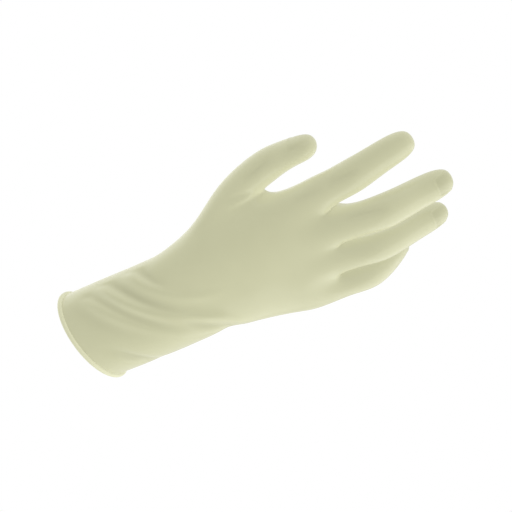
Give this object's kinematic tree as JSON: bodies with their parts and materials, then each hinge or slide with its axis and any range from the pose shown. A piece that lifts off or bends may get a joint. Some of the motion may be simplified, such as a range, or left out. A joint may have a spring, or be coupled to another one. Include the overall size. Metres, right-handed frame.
{
  "type": "vinyl exam glove",
  "caption": "Thin disposable glove, hollow and held in the shape of a relaxed hand, with a long folded cuff and a rolled bead at its open rim.",
  "frame": {"origin": "centre of the open rim of the cuff, where a wrist goes in", "axes": "+X along the cuff towards the fingertips, +Z to the thumb side, -Y out of the back of the hand, +Y out of the palm"},
  "size_m": [0.241, 0.0718, 0.1013],
  "materials": {
    "vinyl_film": "satin, translucent cream film"
  },
  "bodies": {
    "root": {"glove": "vinyl_film"}
  },
  "joints": []
}
